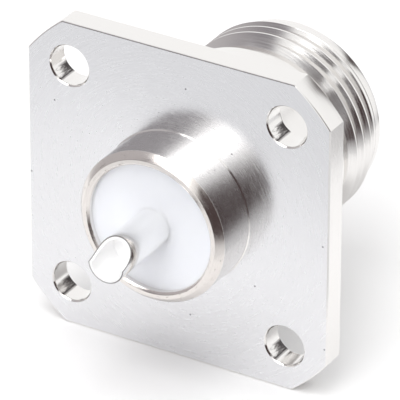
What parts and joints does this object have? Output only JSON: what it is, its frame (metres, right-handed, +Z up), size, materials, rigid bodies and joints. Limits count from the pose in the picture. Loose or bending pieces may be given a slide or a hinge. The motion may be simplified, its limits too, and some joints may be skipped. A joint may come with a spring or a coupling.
{
  "type": "n type connector",
  "caption": "Square-flange coaxial panel jack with a screw barrel, recessed socket contact, white insulators and a scooped solder cup tail.",
  "frame": {"origin": "centre of the flange's rear face, on the connector's axis", "axes": "+Y along the axis towards the mating end, -Y towards the solder cup, +Z up, square to the flange's top edge, and the solder cup opens upwards"},
  "size_m": [0.0254, 0.0278, 0.0254],
  "materials": {
    "plated_shell": "bright pale nickel-like plate over turned brass, flange face brushed",
    "insulator": "white PTFE, cut smooth, slightly waxy",
    "plated_contact": "bright silver plate over turned copper alloy"
  },
  "bodies": {
    "root": {"shell": "plated_shell", "rear_insulator": "insulator", "front_insulator": "insulator", "centre_contact": "plated_contact"}
  },
  "joints": []
}
